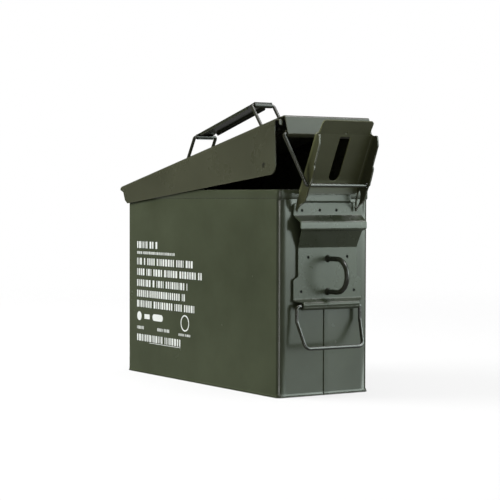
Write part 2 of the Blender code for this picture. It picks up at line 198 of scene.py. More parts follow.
def place(name, me, mat, body, nodes, sharp=38, sheet=0.0):
    ob = bpy.data.objects.new(name, me)
    bpy.context.scene.collection.objects.link(ob)
    me.materials.clear()
    me.materials.append(mat)
    if sheet:
        m = ob.modifiers.new("Solidify", "SOLIDIFY")
        m.thickness = sheet * MM
        m.offset = 0.0
        m.use_even_offset = False
        m.use_quality_normals = True
    # modifiers are applied, so the piece is a plain mesh with its own shading
    dg = bpy.context.evaluated_depsgraph_get()
    done = bpy.data.meshes.new_from_object(ob.evaluated_get(dg))
    ob.modifiers.clear()
    old = ob.data
    ob.data = done
    bpy.data.meshes.remove(old)
    done.name = name
    done.shade_smooth()
    done.set_sharp_from_angle(angle=math.radians(sharp))
    if sheet:
        w = ob.modifiers.new("WeightedNormal", "WEIGHTED_NORMAL")
        w.keep_sharp = True
        w.weight = 60
    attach(ob, body)
    if nodes:
        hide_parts(*nodes)
    return ob


def wire_mesh(name, pts, dia, closed=False, res=5):
    cu = bpy.data.curves.new(name, "CURVE")
    cu.dimensions = "3D"
    cu.bevel_depth = dia / 2 * MM
    cu.bevel_resolution = res
    cu.use_fill_caps = True
    sp = cu.splines.new("POLY")
    sp.points.add(len(pts) - 1)
    for q, p in zip(sp.points, pts):
        q.co = (p[0] * MM, p[1] * MM, p[2] * MM, 1)
    sp.use_cyclic_u = closed
    tmp = bpy.data.objects.new(name + "_path", cu)
    bpy.context.scene.collection.objects.link(tmp)
    bpy.context.view_layer.update()
    dg = bpy.context.evaluated_depsgraph_get()
    me = bpy.data.meshes.new_from_object(tmp.evaluated_get(dg))
    bpy.data.objects.remove(tmp, do_unlink=True)
    bm = bmesh.new()
    bm.from_mesh(me)
    bmesh.ops.remove_doubles(bm, verts=bm.verts[:], dist=0.00001)
    bmesh.ops.recalc_face_normals(bm, faces=bm.faces[:])
    bm.to_mesh(me)
    bm.free()
    me.name = name
    return me


def bent(pts, step=4.0):
    """Adds points along the straight runs."""
    out = []
    for a, b in zip(pts, pts[1:]):
        a, b = Vector(a), Vector(b)
        n = max(1, int((b - a).length / step))
        out += [a.lerp(b, k / n) for k in range(n)]
    out.append(Vector(pts[-1]))
    return out


def rounded_rect(hx, hy, r, z, n=10):
    pts = []
    for sx, sy, a0 in ((1, 1, 0), (-1, 1, 90), (-1, -1, 180), (1, -1, 270)):
        cx, cy = sx * (hx - r), sy * (hy - r)
        for i in range(n + 1):
            a = math.radians(a0 + 90 * i / n)
            pts.append((cx + r * math.cos(a), cy + r * math.sin(a), z))
    return pts


def rings_mesh(name, rings, close_bottom=False, close_ring=False):
    """Outlines with the same number of points joined by strips of quads."""
    me = bpy.data.meshes.new(name)
    bm = bmesh.new()
    rows = [[bm.verts.new((p[0] * MM, p[1] * MM, p[2] * MM)) for p in ring] for ring in rings]
    n = len(rows[0])
    pairs = list(zip(rows, rows[1:])) + ([(rows[-1], rows[0])] if close_ring else [])
    for a, b in pairs:
        for i in range(n):
            bm.faces.new((a[i], a[(i + 1) % n], b[(i + 1) % n], b[i]))
    if close_bottom:
        bm.faces.new(rows[0])
    bmesh.ops.recalc_face_normals(bm, faces=bm.faces[:])
    bm.to_mesh(me)
    bm.free()
    return me


# ---- materials ---------------------------------------------------------------
def lin(c):
    return tuple(((v / 255 + 0.055) / 1.055) ** 2.4 if v / 255 > 0.04045 else v / 255 / 12.92
                 for v in c)


class Nodes:
    """Small helper that adds and links shader nodes."""

    def __init__(self, name):
        self.mat = bpy.data.materials.new(name)
        self.mat.use_nodes = True
        self.t = self.mat.node_tree
        self.b = self.t.nodes["Principled BSDF"]
        co = self.t.nodes.new("ShaderNodeTexCoord")
        self.co = co.outputs["Object"]

    def add(self, kind, **props):
        n = self.t.nodes.new(kind)
        for k, v in props.items():
            if hasattr(n, k):
                setattr(n, k, v)
            else:
                raise ValueError(k)
        return n

    def link(self, a, b):
        self.t.links.new(a, b)

    def scaled(self, scale):
        m = self.add("ShaderNodeMapping")
        m.inputs["Scale"].default_value = scale
        self.link(self.co, m.inputs["Vector"])
        return m.outputs["Vector"]

    def noise(self, scale, detail=3.0, rough=0.55, vec=None):
        n = self.add("ShaderNodeTexNoise")
        n.inputs["Scale"].default_value = scale
        n.inputs["Detail"].default_value = detail
        n.inputs["Roughness"].default_value = rough
        self.link(vec or self.co, n.inputs["Vector"])
        return n.outputs["Fac"]

    def ramp(self, fac, lo, hi, a=0.0, b=1.0):
        m = self.add("ShaderNodeMapRange")
        m.clamp = True
        m.inputs["From Min"].default_value = lo
        m.inputs["From Max"].default_value = hi
        m.inputs["To Min"].default_value = a
        m.inputs["To Max"].default_value = b
        self.link(fac, m.inputs["Value"])
        return m.outputs["Result"]

    def math(self, op, a, b):
        m = self.add("ShaderNodeMath", operation=op)
        for s, v in zip(m.inputs, (a, b)):
            if isinstance(v, (int, float)):
                s.default_value = v
            else:
                self.link(v, s)
        return m.outputs[0]

    def mix(self, fac, a, b):
        m = self.add("ShaderNodeMix", data_type="RGBA")
        for s, v in ((m.inputs["Factor"], fac), (m.inputs["A"], a), (m.inputs["B"], b)):
            if isinstance(v, tuple):
                s.default_value = (*v, 1)
            elif isinstance(v, (int, float)):
                s.default_value = v
            else:
                self.link(v, s)
        return m.outputs["Result"]


def painted(name, base, rough=0.46, edge_rub_and_highlight_amount=0.5, seed=0.0, spec=0.5, fold=None):
    """Semi-matt sprayed paint on steel: faint mottling, orange peel, fine dust,
    and edges made lighter, partly as rubbed paint and partly as a painted highlight
    where the sheet edges catch the light. With fold, the side flanges also get chips and painted shade."""
    k = Nodes(name)
    shift = k.add("ShaderNodeMapping")
    shift.inputs["Location"].default_value = (seed, seed * 0.7, seed * 1.3)
    k.link(k.co, shift.inputs["Vector"])
    k.co = shift.outputs["Vector"]
    base = lin(base)
    light = tuple(min(1, v * 1.14 + 0.003) for v in base)
    dark = tuple(v * 0.91 for v in base)
    cloud = k.ramp(k.noise(14, 4, 0.6), 0.35, 0.68)
    col = k.mix(cloud, dark, light)
    col = k.mix(k.ramp(k.noise(55, 5, 0.7), 0.56, 0.80, 0.0, 0.22), col, tuple(v * 0.72 for v in base))
    # edges made lighter, broken up by fine noise: partly rubbed paint, partly a painted highlight of the sheet
    # edges catching the light
    bev = k.add("ShaderNodeBevel", samples=6)
    bev.inputs["Radius"].default_value = 0.0009
    geo = k.add("ShaderNodeNewGeometry")
    dot = k.add("ShaderNodeVectorMath", operation="DOT_PRODUCT")
    k.link(bev.outputs["Normal"], dot.inputs[0])
    k.link(geo.outputs["Normal"], dot.inputs[1])
    edge = k.ramp(dot.outputs["Value"], 0.995, 0.90)
    broken = k.ramp(k.noise(420, 3, 0.7), 0.45, 0.66, 0.35, 1.0)
    rub = k.math("MULTIPLY", k.math("MULTIPLY", edge, broken), edge_rub_and_highlight_amount)
    rubbed_and_lit_edge_colour = tuple(min(1, v * 2.3 + 0.03) for v in base)
    col = k.mix(rub, col, rubbed_and_lit_edge_colour)
    if fold:
        # chips along the free edges of the side flanges, and painted shade that darkens the flanges towards those
        # edges
        sep = k.add("ShaderNodeSeparateXYZ")
        tex = k.add("ShaderNodeTexCoord")
        k.link(tex.outputs["Object"], sep.inputs[0])
        # height over the plate's plane
        sd = k.math("SUBTRACT", k.math("SUBTRACT", k.math("MULTIPLY", sep.outputs[0], 0.896),
                                       k.math("MULTIPLY", sep.outputs[2], 0.444)), 0.04382)
        near = k.math("MULTIPLY", k.ramp(dot.outputs["Value"], 0.998, 0.93), k.ramp(sd, fold, fold + 0.002))
        # painted shade: the flanges darken as they stand off the plate's plane
        col = k.mix(k.ramp(sd, 0.0022, 0.0040, 0.0, 0.75), col, tuple(v * 0.36 for v in base))
        chip = k.ramp(k.noise(130, 2, 0.5), 0.46, 0.50)
        chip = k.math("MULTIPLY", chip, k.ramp(k.noise(900, 2, 0.6), 0.34, 0.46))
        chip = k.math("MULTIPLY", chip, near)
        col = k.mix(chip, col, lin((176, 180, 166)))
    # pale dust specks
    speck = k.ramp(k.noise(900, 1, 0.5), 0.74, 0.80, 0.0, 0.22)
    col = k.mix(speck, col, tuple(min(1, v + 0.10) for v in base))
    k.link(col, k.b.inputs["Base Color"])
    r = k.ramp(k.noise(38, 4, 0.65), 0.3, 0.7, rough - 0.035, rough + 0.045)
    k.link(k.math("SUBTRACT", r, k.math("MULTIPLY", rub, 0.12)), k.b.inputs["Roughness"])
    k.b.inputs["Specular IOR Level"].default_value = spec
    peel = k.noise(650, 2, 0.5)
    dents = k.noise(9, 2, 0.4)
    h = k.math("ADD", k.math("MULTIPLY", peel, 0.05), k.math("MULTIPLY", dents, 1.4))
    bump = k.add("ShaderNodeBump")
    bump.inputs["Strength"].default_value = 0.35
    bump.inputs["Distance"].default_value = 0.00035
    k.link(h, bump.inputs["Height"])
    soft = k.add("ShaderNodeBevel", samples=4)
    soft.inputs["Radius"].default_value = 0.00035
    k.link(soft.outputs["Normal"], bump.inputs["Normal"])
    k.link(bump.outputs["Normal"], k.b.inputs["Normal"])
    return k.mat


def rubber(name):
    k = Nodes(name)
    col = k.mix(k.ramp(k.noise(120, 4, 0.6), 0.35, 0.7), (0.010, 0.010, 0.010), (0.024, 0.024, 0.023))
    k.link(col, k.b.inputs["Base Color"])
    k.link(k.ramp(k.noise(60, 3), 0.3, 0.7, 0.72, 0.9), k.b.inputs["Roughness"])
    k.b.inputs["Specular IOR Level"].default_value = 0.1
    bump = k.add("ShaderNodeBump")
    bump.inputs["Strength"].default_value = 0.4
    bump.inputs["Distance"].default_value = 0.0002
    k.link(k.noise(1400, 2), bump.inputs["Height"])
    k.link(bump.outputs["Normal"], k.b.inputs["Normal"])
    return k.mat


def ink(name):
    """Thin pale stencil ink with the paint showing faintly through."""
    k = Nodes(name)
    col = k.mix(k.ramp(k.noise(700, 3, 0.7), 0.5, 0.8, 0.0, 0.5), lin((226, 230, 225)), lin((150, 156, 146)))
    k.link(col, k.b.inputs["Base Color"])
    k.link(k.ramp(k.noise(300, 2), 0.3, 0.7, 0.5, 0.66), k.b.inputs["Roughness"])
    return k.mat


def bare_steel(name):
    k = Nodes(name)
    col = k.mix(k.ramp(k.noise(90, 4, 0.6), 0.35, 0.7), (0.10, 0.10, 0.085), (0.20, 0.20, 0.18))
    k.link(col, k.b.inputs["Base Color"])
    k.b.inputs["Metallic"].default_value = 0.85
    k.link(k.ramp(k.noise(200, 3), 0.3, 0.7, 0.36, 0.52), k.b.inputs["Roughness"])
    return k.mat


M_BODY = painted("body_paint", (65, 71, 52), 0.23, 0.5, 0.0)
M_LID = painted("lid_paint", (65, 67, 50), 0.28, 0.9, 0.31)
M_PLATE = painted("plate_paint", (68, 76, 56), 0.28, 0.5, 0.63)
# painted light: the lever's paint is a lighter copy of the olive paint, for light on its downward-tilted plate
M_LEVER = painted("lever_paint", (85, 88, 58), 0.38, 1.0, 0.87, fold=0.003)
M_FIT = painted("fitting_paint", (42, 45, 32), 0.24, 0.8, 1.21)
M_WIRE = painted("wire_paint", (46, 48, 33), 0.21, 1.0, 1.57, 0.9)
# used for the gasket and for the dark pieces that stand for painted shade on the latch plate
M_RUBBER_AND_SHADE = rubber("gasket_rubber")
M_INK = ink("stencil_ink")
M_PIN = bare_steel("pin_steel")

# ---- body --------------------------------------------------------------------
def body_outline(grow, z, seam):
    """The wrapped wall's outline. On the latch end the sheet's two ends lap:
    a fine groove and a strip proud of the wall beside it."""
    ring = rounded_rect(HX + grow, HY + grow, CORNER_R + grow, z)
    x = HX + grow
    lap = [(-0.9, 0.0), (-0.45, -0.35 * seam), (-0.12, -0.5 * seam), (0.05, 0.42 * seam),
           (1.2, 0.5 * seam), (4.2, 0.45 * seam), (5.2, 0.3 * seam), (6.4, 0.0)]
    # the list starts at +X +Y corner's start (angle 0), so the lap comes last,
    # between the -Y corner's end and that start
    near = (42.0, 41.2, 40.4, 39.4, 38.2, 37.0, 30.0)
    ring = ring + [(x, -y, z) for y in near] + [(x + dx, y, z) for y, dx in lap] \
        + [(x, y, z) for y in reversed(near)]
    out = []
    for a, b, c in ring:
        if a > HX - CORNER_R and 3.0 < c < BAND_Z - 1.0:
            a -= 0.90 * (max(0.0, abs(b) - 37.0) / 6.0) ** 2 * (a - HX + CORNER_R) / CORNER_R
        out.append((a, b, c))
    return out


rows = []
for z, grow, seam in ((1.3, 0.45, 0.6), (2.0, 0.12, 1), (3.2, 0.0, 1), (40, 0.0, 1), (80, 0.0, 1),
                      (120, 0.0, 1), (150, 0.0, 0.4), (BAND_Z - 1.3, 0.0, 0.0),
                      (BAND_Z - 0.9, -0.14, 0.0), (BAND_Z - 0.35, -0.14, 0.0), (BAND_Z - 0.1, 0.34, 0.0),
                      (BAND_Z + 0.25, BAND_OUT, 0.0), (BODY_H - 0.5, BAND_OUT, 0.0),
                      (BODY_H - 0.12, BAND_OUT - 0.12, 0.0), (BODY_H, BAND_OUT - 0.5, 0.0)):
    rows.append(body_outline(grow, z, seam))
for z, grow in ((BODY_H - 0.12, BAND_OUT - 0.88), (BODY_H - 0.5, BAND_OUT - 1.0),
                (BAND_Z + 0.9, BAND_OUT - 1.0), (BAND_Z - 0.4, -1.0), (80, -1.0), (2.4, -1.0),
                (1.3, -0.9)):
    rows.append(body_outline(grow, z, 0.0))
shell = place("can_body", rings_mesh("can_body", rows, close_ring=True), M_BODY, "can",
              ["body_shell"], sharp=30)

pan_rows = [rounded_rect(HX + g, HY + g, CORNER_R + g, z) for z, g in
            ((1.0, -1.4), (0.95, 0.0), (0.92, 0.45), (0.75, 0.6), (0.35, 0.6), (0.1, 0.45),
             (0.0, 0.0), (0.0, -3.0), (0.5, -4.2), (0.6, -9.0))]
pan_me = rings_mesh("can_base", list(reversed(pan_rows)), close_bottom=True)
bm = bmesh.new()
bm.from_mesh(pan_me)
# inner floor with its upstand, spot welded inside the wall
up = [rounded_rect(HX + g, HY + g, CORNER_R + g, z) for z, g in
      ((1.0, -1.4), (6.6, -1.4), (7.0, -1.8), (6.6, -2.2), (3.0, -2.3), (1.6, -3.6), (1.1, -6.0))]
vr = [[bm.verts.new((p[0] * MM, p[1] * MM, p[2] * MM)) for p in ring] for ring in up]
n = len(vr[0])
for a, b in zip(vr, vr[1:]):
    for i in range(n):
        bm.faces.new((a[i], a[(i + 1) % n], b[(i + 1) % n], b[i]))
bm.faces.new(vr[-1])
bmesh.ops.remove_doubles(bm, verts=bm.verts[:], dist=0.00002)
bmesh.ops.recalc_face_normals(bm, faces=bm.faces[:])
bm.to_mesh(pan_me)
bm.free()
place("can_base", pan_me, M_BODY, "can", ["bottom_pan"], sharp=30)

# ---- latch plate ---------------------------------------------------------------
px = PLATE_X
bx, bz = BAIL_AXIS
nose = fillet([(px + 0.9, 0, 167.6), (px + 0.9, 0, 161.7), (px, 0, 160.5), (px, 0, 149.6),
               (139.1, 0, 144.6), (139.3, 0, 138.5), (136.5, 0, 137.3), (px, 0, 123.6),
               (px, 0, 80.4), (135.9, 0, 77.9), (136.8, 0, 76.4), (136.8, 0, 74.6)],
              [0, 0.8, 0.8, 1.6, 2.6, 1.5, 0.9, 2.6, 1.4, 1.0, 0.8, 0], 6)
line = [(p.x, p.z) for p in nose] + arc(bx, bz - 0.1, 2.55, -8, -190, 20)
pth = Path(line)


def s_z(z):
    return pth.s_of(lambda x, zz: zz <= z)


def half_outline(rows):
    """rows of (half width, s, corner radius), top to bottom, as a closed loop."""
    right = [(w, s) for w, s, r in rows]
    left = [(-w, s) for w, s, r in reversed(rows)]
    rad = [r for *_, r in rows]
    return fillet2(right + left, rad + rad[::-1], 6, True)


rows = [(22.4, pth.s[0], 1.2), (23.0, s_z(161.0), 0.6), (34.4, s_z(159.9), 4.4),
        (34.4, s_z(150.0), 1.0), (33.3, s_z(146.5), 1.2), (33.3, s_z(139.4), 1.6),
        (30.6, s_z(137.5), 1.2), (29.7, s_z(126.0), 2.0), (29.7, s_z(99.6), 0.8), (34.4, s_z(96.6), 1.6),
        (34.4, s_z(79.6), 2.0), (28.4, s_z(78.4), 0.8), (28.4, pth.s[-1], 0.5)]
dots = [(-8.5, 154.1), (8.4, 154.1), (-26.2, 153.9), (-19.8, 115.3),
        (19.8, 115.3), (-26.7, 87.1), (27.0, 87.1)]
bm = pattern(half_outline(rows), holes=[circle2(y, s_z(z), 1.25, 14) for y, z in dots],
             cuts_v=pth.s[1:-1], cuts_u=(-20, 0, 20))
plate_me = mapped("strike_plate", bm, lambda u, v, w: (pth.at(v)[0][0], PLATE_Y + u, pth.at(v)[0][1]))
place("strike_plate", plate_me, M_PLATE, "can", ["latch_plate"], sheet=PLATE_T)

# painted shade: dark plugs fill the plate's holes, so the shade inside them reads as small black dots
bm = bmesh.new()
for y, z in dots:
    xb = pth.at(s_z(z))[0][0]
    ra = [[bm.verts.new(((xb + q) * MM, (PLATE_Y + y + 1.3 * math.cos(t)) * MM, (z + 1.3 * math.sin(t)) * MM))
           for t in [2 * math.pi * i / 14 for i in range(14)]] for q in (-0.5, 0.1)]
    for i in range(14):
        bm.faces.new((ra[0][i], ra[0][(i + 1) % 14], ra[1][(i + 1) % 14], ra[1][i]))
    bm.faces.new(ra[0])
    bm.faces.new(ra[1])
# painted shadow: a dark strip where the tongue steps down to the plate
gapv = [bm.verts.new(((px + a) * MM, (PLATE_Y + b) * MM, c * MM)) for a in (0.3, 0.86) for b in (-23.4, 23.4)
        for c in (160.35, 161.1)]
for q in ((0, 1, 3, 2), (4, 6, 7, 5), (0, 4, 5, 1), (2, 3, 7, 6), (0, 2, 6, 4), (1, 5, 7, 3)):
    bm.faces.new([gapv[i] for i in q])
bmesh.ops.recalc_face_normals(bm, faces=bm.faces[:])
me = bpy.data.meshes.new("painted_shade_plugs")
bm.to_mesh(me)
bm.free()
place("painted_shade_plugs", me, M_RUBBER_AND_SHADE, "can", [])

# staple with a weld fillet at each foot
pts = [(px + 0.95, PLATE_Y, 113.9), (px + 4, PLATE_Y, 113.9)] + \
    [(x, PLATE_Y, z) for x, z in arc(144.0, 100.2, 13.7, 90, -90, 36)] + \
    [(px + 4, PLATE_Y, 86.5), (px + 0.95, PLATE_Y, 86.5)]
me = wire_mesh("staple", pts, STAPLE_D, res=6)
bm = bmesh.new()
bm.from_mesh(me)
for z in (113.9, 86.5):
    prof = [(0.7, 3.2), (1.0, 3.0), (1.5, 2.55), (2.3, 2.25), (3.4, 2.08)]
    ringv = [[bm.verts.new(((px + a) * MM, (PLATE_Y + r * math.cos(t)) * MM, (z + r * math.sin(t)) * MM))
              for t in [2 * math.pi * i / 24 for i in range(24)]] for a, r in prof]
    for ra, rb in zip(ringv, ringv[1:]):
        for i in range(24):
            bm.faces.new((ra[i], ra[(i + 1) % 24], rb[(i + 1) % 24], rb[i]))
    bm.faces.new(ringv[0])
    bm.faces.new(ringv[-1])
bmesh.ops.recalc_face_normals(bm, faces=bm.faces[:])
bm.to_mesh(me)
bm.free()
place("staple", me, M_FIT, "can", ["padlock_staple"])

# ---- carrying bail -------------------------------------------------------------
bc, b1, b2 = 0.8, 32.0, 28.9
loop = [(bx, bc - b1, bz), (bx, bc - b1, 62.5), (143.0, bc - b2, 41.0),
        (143.0, bc + b2, 41.0), (bx, bc + b1, 62.5), (bx, bc + b1, bz)]
place("front_bail", wire_mesh("front_bail", fillet(loop, [2.6, 6, 5, 5, 6, 2.6], 10, True), WIRE, True),
      M_WIRE, "carrying_bail", ["carrying_bail"])

# ---- hinge -----------------------------------------------------------------------
hx, hz = HINGE


def strip(name, path, outline, mat, body, nodes, shut=True, sheet=1.0, holes=(), u=()):
    bm = pattern(outline, holes=holes, cuts_v=path.s[1:-1], cuts_u=u)

    def fn(a, b, w):
        (x, z), _ = path.at(b)
        return ajar(x, a, z) if shut else (x, a, z)

    return place(name, mapped(name, bm, fn), mat, body, nodes, sheet=sheet)


hp = Path([(-129.7, 150.0), (-129.7, 160.0)] + arc(-132.0, 167.0, 2.3, 0, 0, 1)[:0]
          + [(-129.7, 167.4)] + arc(hx, hz, 2.3, 0, 290, 30))
k0, k1 = hp.s_of(lambda x, z: z >= 164.5), hp.s[-1]
ol = [(-38, hp.s[0]), (38, hp.s[0]), (38, k1), (22.3, k1), (22.3, k0), (7.7, k0), (7.7, k1),
      (-7.7, k1), (-7.7, k0), (-22.3, k0), (-22.3, k1), (-38, k1)]
ol = fillet2(ol, [2.5, 2.5, 0, 0, 0.6, 0.6, 0, 0, 0.6, 0.6, 0, 0], 4, True)
strip("hinge_leaf_body", hp, ol, M_BODY, "can", ["body_hinge_leaf"], shut=False,
      holes=[circle2(y, hp.s_of(lambda x, z: z >= 155), 0.85, 12) for y in (-28, -10, 10, 28)])
hp2 = Path([(-137.6, 174.3), (-132.2, 174.3)] + arc(-131.9, 173.1, 1.2, 90, 0, 5)
           + [(-130.7, 170.4)] + arc(hx, hz, 2.3, 0, -250, 28))
k0, k1 = hp2.s_of(lambda x, z: x > -131 and z <= 173.2), hp2.s[-1]
ol = [(-22, hp2.s[0]), (22, hp2.s[0]), (22, k1), (8, k1), (8, k0), (-8, k0), (-8, k1), (-22, k1)]
strip("hinge_leaf_lid", hp2, ol, M_BODY, "lid", ["lid_hinge_leaf"])
rod = [(hx, -39.2, hz), (hx, 39.2, hz)]
place("hinge_rod", wire_mesh("hinge_rod", rod, 3.0, res=6), M_PIN, "hinge_pin", ["hinge_pin"])

# ---- lid -------------------------------------------------------------------------
TM = LID_TOP - WALL / 2
R = 3.0
vb = LID_HALF_W - WALL / 2 - R                     # side bends start here
lean = math.radians(AJAR)
fb = (CURL[0] - 2.4 * math.cos(lean), CURL[1] + 2.4 * math.sin(lean))
corner_x = fb[0] + (TM - fb[1]) * math.tan(lean)
top = fillet([(-139.2, 0, 169.8), (-139.2, 0, TM), (129.8, 0, TM), (133.8, 0, TM + 1.0),
              (139.2, 0, TM + 1.0), (140.78, 0, 161.93)], [0, 2.6, 3.0, 2.5, 1.6, 0], 8)
lid_line = [(p.x, p.z) for p in top] + arc(CURL[0], CURL[1], 2.4, 8, -280, 36)
lp = Path(lid_line)
lp.shift(0.0 - lp.s_of(lambda x, z: x >= 0))       # s equals X on the flat of the top
BEND = R * math.pi / 2


def side_v(z):
    return vb + BEND + (TM - R - z)


def lid_fn(u, v, w):
    a = abs(u)
    if a <= vb:
        (x, z), t = lp.at(v)
        return ajar(x - t[1] * w, u, z + t[0] * w)
    sgn = 1 if u > 0 else -1
    if a <= vb + BEND:
        th = (a - vb) / R
        return ajar(v, sgn * (vb + R * math.sin(th)), TM - R * (1 - math.cos(th)))
    return ajar(v, sgn * (vb + R + w), TM - R - (a - vb - BEND))


arcp = arc(118.0, 140.4, 8.6, 276, 350, 12)
right = [(42.5, lp.s[-1]), (42.5, 134.2), (43.4, 133.2), (vb, 132.4), (side_v(172.6), 132.0)]
right += [(side_v(z), x) for x, z in reversed(arcp)]
right += [(side_v(157.3), -128.0), (side_v(161.1), -132.0), (side_v(169.2), -133.8),
          (side_v(172.4), -138.9), (vb, -138.7), (43.6, -137.2), (42.6, -137.2), (42.6, lp.s[0])]
# the far skirt's front corner hangs a little lower
far = [(a + 3.0, b) if a > side_v(150) and b > 100 else (a, b) for a, b in right]
outl = far + [(-a, b) for a, b in reversed(right)]
cu = [vb + BEND * k / 8 for k in range(9)]
bm = pattern(outl, cuts_u=[c * s for s in (-1, 1) for c in cu] + [-22, 0, 22],
             cuts_v=[s for s in lp.s[1:-1]] + [-100, -50, 0, 50, 100],
             dimples=[(side_v(141.2), 109.6, 3.1, -1.3), (-side_v(141.2), 109.6, 3.1, -1.3)])
place("lid", mapped("lid", bm, lid_fn), M_LID, "lid", ["lid_shell"], sheet=WALL)

# small folded ears that close the lid's front corners beside the flange
for tag, s in (("left", -1), ("right", 1)):
    ear_line = Path([(x, z) for x, z in fillet2([(128.6, TM - 1.15), (corner_x - 2.2, TM - 1.15),
                                                 (corner_x - 3.1, TM - 6.6)], [0, 2.0, 0], 8)])
    L = ear_line.s[-1]
    oe = fillet2([(s * 43.5, 0.3), (s * 46.6, 0.3), (s * 46.6, L - 0.6), (s * 43.5, L)],
                 [0.3, 0.3, 1.4, 0.6], 5, True)
    strip("lid_ear_" + tag, ear_line, oe, M_LID, "lid", [], sheet=0.9)

# ---- lid lining (kept as packed, softened edges) -------------------------------------
for node, mat in (("lid_gasket", M_RUBBER_AND_SHADE), ("gasket_retainer", M_FIT)):
    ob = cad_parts[node]
    ob.data.materials.clear()
    ob.data.materials.append(mat)
    m = ob.modifiers.new("Bevel", "BEVEL")
    m.width = 0.35 * MM
    m.segments = 2
    m.limit_method = "ANGLE"
    m.angle_limit = math.radians(40)

# ---- latch lever ---------------------------------------------------------------------
p0, p1 = (137.7, 179.2), (156.1, 216.3)
dl = math.dist(p0, p1)
dx, dz = (p1[0] - p0[0]) / dl, (p1[1] - p0[1]) / dl
nx, nz = dz, -dx                                    # out of the lever's face
centre = fillet([(135.8, 0, 167.3), (136.3, 0, 172.6), (p0[0], 0, p0[1]), (p1[0], 0, p1[1]),
                 (163.05, 0, 227.0)], [0, 4, 8, 10, 0], 6)
cp = Path([(p.x, p.z) for p in centre])
# t is 0 at p0 on the straight extension of the plate
mid = ((p0[0] + p1[0]) / 2, (p0[1] + p1[1]) / 2)
cp.shift(dl / 2 - cp.s_of(lambda x, z: z >= mid[1]))
r_l = 1.5
v_l = LEVER_Y - r_l
BEND_L = r_l * math.radians(86)


def lever_fn(u, v, w):
    a = abs(u)
    if a <= v_l and -30 < v:
        (x, z), t = cp.at(v)
        return (x + t[1] * w, u, z - t[0] * w)
    sgn = 1 if u > 0 else -1
    x, z = p0[0] + dx * v, p0[1] + dz * v
    th = min((a - v_l) / r_l, math.radians(86))
    lat = v_l + r_l * math.sin(th)
    out = r_l * (1 - math.cos(th))
    rest = a - v_l - BEND_L
    if rest > 0:
        # a slight flare towards the free edge
        out += rest * math.sin(math.radians(86))
        lat += rest * math.cos(math.radians(86))
    if v < -7:
        # the feet spread a little
        q = min(1.0, (-7 - v) / 15)
        lat += (1.9 if u < 0 else 0.0) * q * q * (3 - 2 * q) * min(1.0, max(0.0, (a - v_l) / BEND_L))
    return (x + nx * out, sgn * lat, z + nz * out)


def to_uv(x, z):
    """A point of the flange in the pattern: across from the bend, along the plate."""
    ex, ez = x - p0[0], z - p0[1]
    t, s = ex * dx + ez * dz, ex * nx + ez * nz
    return (v_l + BEND_L + max(s - r_l, -0.9), t)


flange = [(162.8, 215.6), (163.4, 207.2), (156.0, 190.4), (156.8, 188.6),
          (156.2, 186.2), (153.2, 178.4), (149.5, 172.6), (145.3, 164.6), (144.0, 160.9),
          (138.1, 158.0), (134.6, 155.0), (134.0, 153.2), (132.9, 152.6), (131.9, 155.0),
          (133.4, 162.6), (135.2, 168.0)]
frad = [2.0, 3.0, 1.0, 1.0, 1.0, 4, 5, 6, 1.6, 3.0, 0.8, 0.5, 0.8, 1.5, 3, 1.0]
fo = [to_uv(x, z) for x, z in flange]
tt = fo[-1][1]
# centre strip: tab at the top, plate, skirt with its two nubs at the bottom
s_lo, s_hi = cp.s[0], cp.s[-1]
right = [(25.2, s_hi, 2.6), (25.4, dl + 1.6, 1.0), (27.0, dl + 0.6, 0.4), (v_l, dl + 0.4, 0.2),
         (v_l + BEND_L, dl - 0.3, 0.4)]
right += [(a, b, r) for (a, b), r in zip(fo, frad)]
right += [(v_l + 0.5, tt + 1.4, 0.2), (v_l + 0.45, -1.4, 0.2), (v_l - 0.15, -1.4, 0.2),
          (v_l - 0.35, s_lo + 1.2, 0.8), (v_l - 1.4, s_lo, 0.8), (18.2, s_lo, 0.3),
          (17.6, s_lo - 0.0, 0.3), (15.4, s_lo, 0.3)]
outl = [(a, b) for a, b, r in right] + [(-a, b) for a, b, r in reversed(right)]
radl = [r for *_, r in right] + [r for *_, r in reversed(right)]
outl = fillet2(outl, radl, 5, True)
slot_hole = []
for u, v, r in ((1.6 - 5.4, 39.4, 1.6), (1.6 + 5.4, 39.4, 1.6), (1.6 + 5.4, -0.8, 5.39), (1.6 - 5.4, -0.8, 5.39)):
    slot_hole.append((u, v, r))
slot_hole = fillet2([(a, b) for a, b, r in slot_hole], [r for *_, r in slot_hole], 10, True)
hole_uv = to_uv(*ROD)
crescent = [to_uv(x, z) for x, z in ((133.1, 156.4), (134.4, 161.6), (136.0, 166.6), (137.6, 170.0), (139.4, 170.4),
                                     (139.9, 167.0), (139.4, 163.0), (137.6, 159.2), (135.0, 156.2))]
crescent = fillet2(crescent, [0.6, 4, 4, 0.8, 0.8, 3, 4, 3, 0.6], 4, True)
cuts = [v_l + BEND_L * k / 6 for k in range(7)]
bm = pattern(outl, holes=[slot_hole, crescent, circle2(*hole_uv, WIRE / 2 + 0.35, 20),
                          circle2(-hole_uv[0], hole_uv[1], WIRE / 2 + 0.35, 20)],
             cuts_u=[c * s for s in (-1, 1) for c in cuts] + [0],
             cuts_v=[c for c in cp.s[1:-1]],
             dimples=[(1.4, 42.9, 1.5, -0.5)])
place("latch_handle", mapped("latch_handle", bm, lever_fn), M_LEVER, "latch_lever",
      ["latch_lever"], sheet=LEVER_T)

# ---- latch bail ------------------------------------------------------------------------
C = turn(CURL, HINGE, AJAR)
lx, lz = ROD
a1, a2 = 45.3, 31.4
bail = [(C[0], -a1, C[1]), (C[0], a1, C[1]), (lx, a2, lz), (lx, -a2, lz)]
place("latch_wire", wire_mesh("latch_wire", fillet(bail, [1.9, 1.9, 2.4, 2.4], 10, True), WIRE, True),
      M_WIRE, "latch_bail", ["latch_bail"])

